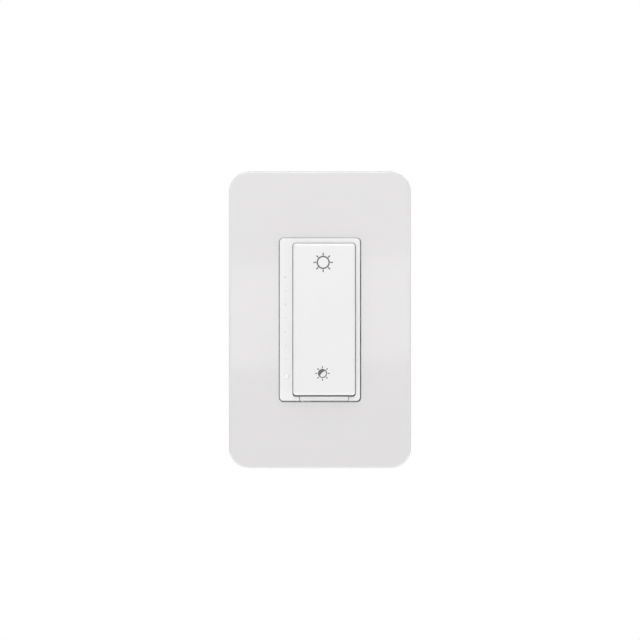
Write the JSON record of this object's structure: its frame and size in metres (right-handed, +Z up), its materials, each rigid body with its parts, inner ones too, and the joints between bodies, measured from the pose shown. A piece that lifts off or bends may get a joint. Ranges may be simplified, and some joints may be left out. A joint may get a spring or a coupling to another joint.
{
  "type": "paddle dimmer",
  "caption": "Wall-box dimmer with a tall rocking paddle, a strip of level lights, a pull-out service tab and a screwless clip-on wall plate.",
  "frame": {"origin": "on the finished wall's surface, at the middle of the plate opening", "axes": "+X to the right and +Z up as a person faces the wall, +Y into the wall"},
  "size_m": [0.0746, 0.0437, 0.122],
  "materials": {
    "gloss_white": "glossy white moulded plastic",
    "satin_white": "satin white moulded plastic",
    "plain_white": "plain white moulded plastic",
    "clear_plastic": "milky clear moulded plastic",
    "yoke_metal": "mill-finish stamped strap",
    "steel": "zinc-plated steel",
    "brass": "plain brass",
    "green_metal": "green dyed screw",
    "copper": "bare copper alloy",
    "black_plastic": "black moulded thermoset",
    "grey_plastic": "grey moulded plastic",
    "circuit_board": "green solder mask",
    "epoxy": "black moulded epoxy",
    "fibre": "brown pressed board",
    "ferrite": "grey ferrite",
    "yellow_film": "yellow film",
    "blue_coat": "blue dipped coating",
    "sleeve": "dark shrink sleeve",
    "fuse_body": "pale ceramic tube",
    "sheet": "cream insulating film"
  },
  "bodies": {
    "device": {"device_frame": "satin_white", "level_light_pipe": "clear_plastic", "status_lens": "clear_plastic", "yoke": "yoke_metal", "insulating_sheet": "sheet", "sub_plate": "plain_white", "plate_screw_top": "gloss_white", "plate_screw_bottom": "gloss_white", "box_screw_top": "steel", "box_screw_bottom": "steel", "screw_retainer_top": "fibre", "screw_retainer_bottom": "fibre", "return_spring_top": "steel", "return_spring_bottom": "steel", "tact_switch_top": "black_plastic", "tact_switch_bottom": "black_plastic", "airgap_contact_left": "copper", "airgap_contact_right": "copper", "control_board": "circuit_board", "led_strip": "circuit_board", "radio_module_board": "circuit_board", "radio_module_shield": "steel", "microcontroller": "epoxy", "board_connector": "black_plastic", "power_board": "circuit_board", "choke_core": "ferrite", "choke_winding": "copper", "transformer_core": "ferrite", "transformer_winding": "yellow_film", "film_capacitor": "yellow_film", "electrolytic_capacitor": "sleeve", "varistor": "blue_coat", "fuse": "fuse_body", "triac_tab": "steel", "triac_body": "epoxy", "triac_screw": "steel", "rear_housing": "black_plastic", "housing_screw_top_left": "steel", "housing_screw_top_right": "steel", "housing_screw_bottom_left": "steel", "housing_screw_bottom_right": "steel", "line_terminal_plate": "brass", "line_terminal_screw": "brass", "load_terminal_plate": "brass", "load_terminal_screw": "brass", "neutral_terminal_plate": "steel", "neutral_terminal_screw": "steel", "traveler_terminal_plate": "brass", "traveler_terminal_screw": "brass", "earth_screw": "green_metal"},
    "cover": {"wall_plate_cover": "gloss_white"},
    "paddle": {"paddle": "satin_white"},
    "plunger_top": {"return_plunger_top": "plain_white", "tact_button_top": "grey_plastic"},
    "plunger_bottom": {"return_plunger_bottom": "plain_white", "tact_button_bottom": "grey_plastic"},
    "service_tab": {"airgap_tab": "satin_white", "airgap_bridge": "copper"}
  },
  "joints": [
    {"name": "paddle_rock", "type": "hinge", "parent": "device", "child": "paddle", "pos_m": [0.0017, -0.0054, 0.0003], "axis": [1, 0, 0], "range_deg": [-1.5, 1.5], "stiffness_Nm_per_rad": 0.3},
    {"name": "plunger_top_slide", "type": "slide", "parent": "device", "child": "plunger_top", "axis": [0, 1, 0], "range_m": [-0.0005, 0.0005], "deforming": ["return_spring_top"]},
    {"name": "plunger_bottom_slide", "type": "slide", "parent": "device", "child": "plunger_bottom", "axis": [0, 1, 0], "range_m": [-0.0005, 0.0005], "deforming": ["return_spring_bottom"]},
    {"name": "airgap_pull", "type": "slide", "parent": "device", "child": "service_tab", "axis": [0, -1, 0], "range_m": [0, 0.003]},
    {"name": "cover_pull", "type": "slide", "parent": "device", "child": "cover", "axis": [0, -1, 0], "range_m": [0, 0.012]}
  ],
  "couplings": [
    {"joint": "plunger_top_slide", "follows": "paddle_rock", "m_per_rad": -0.017},
    {"joint": "plunger_bottom_slide", "follows": "paddle_rock", "m_per_rad": 0.017}
  ]
}
